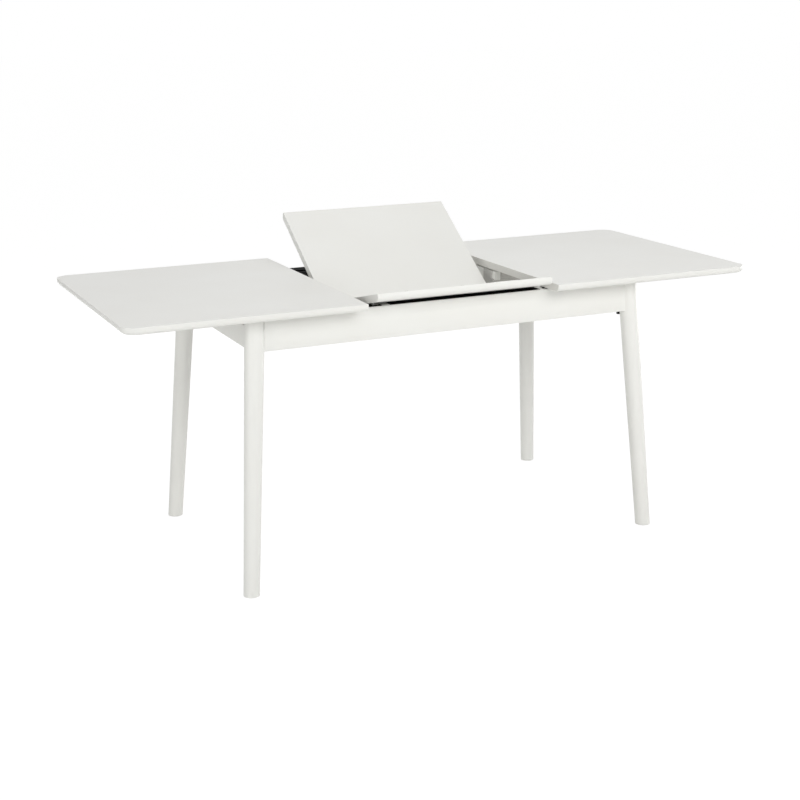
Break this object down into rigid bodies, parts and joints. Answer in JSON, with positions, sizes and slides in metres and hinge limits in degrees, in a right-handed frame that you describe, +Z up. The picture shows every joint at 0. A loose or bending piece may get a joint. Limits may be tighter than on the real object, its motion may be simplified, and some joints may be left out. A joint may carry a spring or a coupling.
{
  "type": "butterfly leaf table",
  "caption": "Extending dining table on splayed round legs, with a folding leaf stored under two sliding top halves.",
  "frame": {"origin": "on the floor under the middle of the table", "axes": "+X along the table's length, +Y to the rear half of the leaf, +Z up"},
  "size_m": [1.832, 0.74, 0.8941],
  "materials": {
    "lacquered_wood": "warm white satin lacquer",
    "black_painted_wood": "matt black paint",
    "black_steel": "satin black coating",
    "grey_steel": "dull zinc-plated sheet",
    "zinc_fasteners": "bright zinc",
    "hinge_brass": "satin brass",
    "pin_steel": "ground steel",
    "nylon": "natural nylon",
    "glide_plastic": "matt glide"
  },
  "bodies": {
    "frame": {"apron_front": "lacquered_wood", "apron_rear": "lacquered_wood", "apron_left": "lacquered_wood", "apron_right": "lacquered_wood", "cross_rail_left": "lacquered_wood", "cross_rail_right": "lacquered_wood", "storage_rails": "lacquered_wood", "leg_front_left": "lacquered_wood", "leg_rear_left": "lacquered_wood", "leg_front_right": "lacquered_wood", "leg_rear_right": "lacquered_wood", "corner_block_front_left": "lacquered_wood", "corner_block_rear_left": "lacquered_wood", "corner_block_front_right": "lacquered_wood", "corner_block_rear_right": "lacquered_wood", "spacer_rail_front": "black_painted_wood", "spacer_rail_rear": "black_painted_wood", "slide_outer_front": "black_steel", "slide_outer_rear": "black_steel", "lock_bolts": "black_steel", "guide_plate_left": "grey_steel", "guide_plate_right": "grey_steel", "catch_plates": "grey_steel", "catch_screws": "zinc_fasteners", "guide_plate_screws": "zinc_fasteners", "slide_screws": "zinc_fasteners", "leg_bolts": "zinc_fasteners", "leg_nuts": "zinc_fasteners", "leg_washers": "zinc_fasteners", "foot_glides": "glide_plastic"},
    "left_top": {"top_left": "lacquered_wood", "slide_inner_left": "black_steel", "runners_left": "black_steel", "runner_screws_left": "zinc_fasteners"},
    "right_top": {"top_right": "lacquered_wood", "slide_inner_right": "black_steel", "runners_right": "black_steel", "runner_screws_right": "zinc_fasteners"},
    "left_middle": {"slide_middle_left": "black_steel"},
    "right_middle": {"slide_middle_right": "black_steel"},
    "carriage": {"guide_shaft": "grey_steel", "guide_rollers": "nylon"},
    "front_leaf": {"leaf_front": "lacquered_wood", "hinge_seats_front": "hinge_brass", "hinge_pins_front": "pin_steel", "leaf_lugs": "grey_steel", "lug_screws": "zinc_fasteners"},
    "links": {"hinge_links": "hinge_brass"},
    "rear_leaf": {"leaf_rear": "lacquered_wood", "hinge_seats_rear": "hinge_brass", "hinge_pins_rear": "pin_steel"}
  },
  "joints": [
    {"name": "left_top_slide", "type": "slide", "parent": "frame", "child": "left_top", "axis": [1, 0, 0], "range_m": [0, 0.025]},
    {"name": "right_top_slide", "type": "slide", "parent": "frame", "child": "right_top", "axis": [-1, 0, 0], "range_m": [0, 0.019]},
    {"name": "left_middle_slide", "type": "slide", "parent": "frame", "child": "left_middle", "axis": [1, 0, 0], "range_m": [0, 0.0125]},
    {"name": "right_middle_slide", "type": "slide", "parent": "frame", "child": "right_middle", "axis": [-1, 0, 0], "range_m": [0, 0.0095]},
    {"name": "leaf_lift", "type": "slide", "parent": "frame", "child": "carriage", "axis": [0, 0.253, 0.9675], "range_m": [0, 0.06376]},
    {"name": "leaf_tilt", "type": "hinge", "parent": "carriage", "child": "front_leaf", "pos_m": [0, -0.02813, 0.65831], "axis": [1, 0, 0], "range_deg": [0, 14.07]},
    {"name": "leaf_fold", "type": "hinge", "parent": "front_leaf", "child": "links", "pos_m": [0, -0.01939, 0.68499], "axis": [1, 0, 0], "range_deg": [-20.75, 130]},
    {"name": "rear_hinge", "type": "hinge", "parent": "links", "child": "rear_leaf", "pos_m": [0, 0.00048, 0.68732], "axis": [1, 0, 0], "range_deg": [-28.14, 0]}
  ],
  "couplings": [
    {"joint": "left_middle_slide", "follows": "left_top_slide", "ratio": 0.5},
    {"joint": "right_middle_slide", "follows": "right_top_slide", "ratio": 0.5},
    {"joint": "leaf_tilt", "follows": "leaf_lift", "rad_per_m": 3.8487},
    {"joint": "rear_hinge", "follows": "leaf_lift", "rad_per_m": -7.6974}
  ]
}
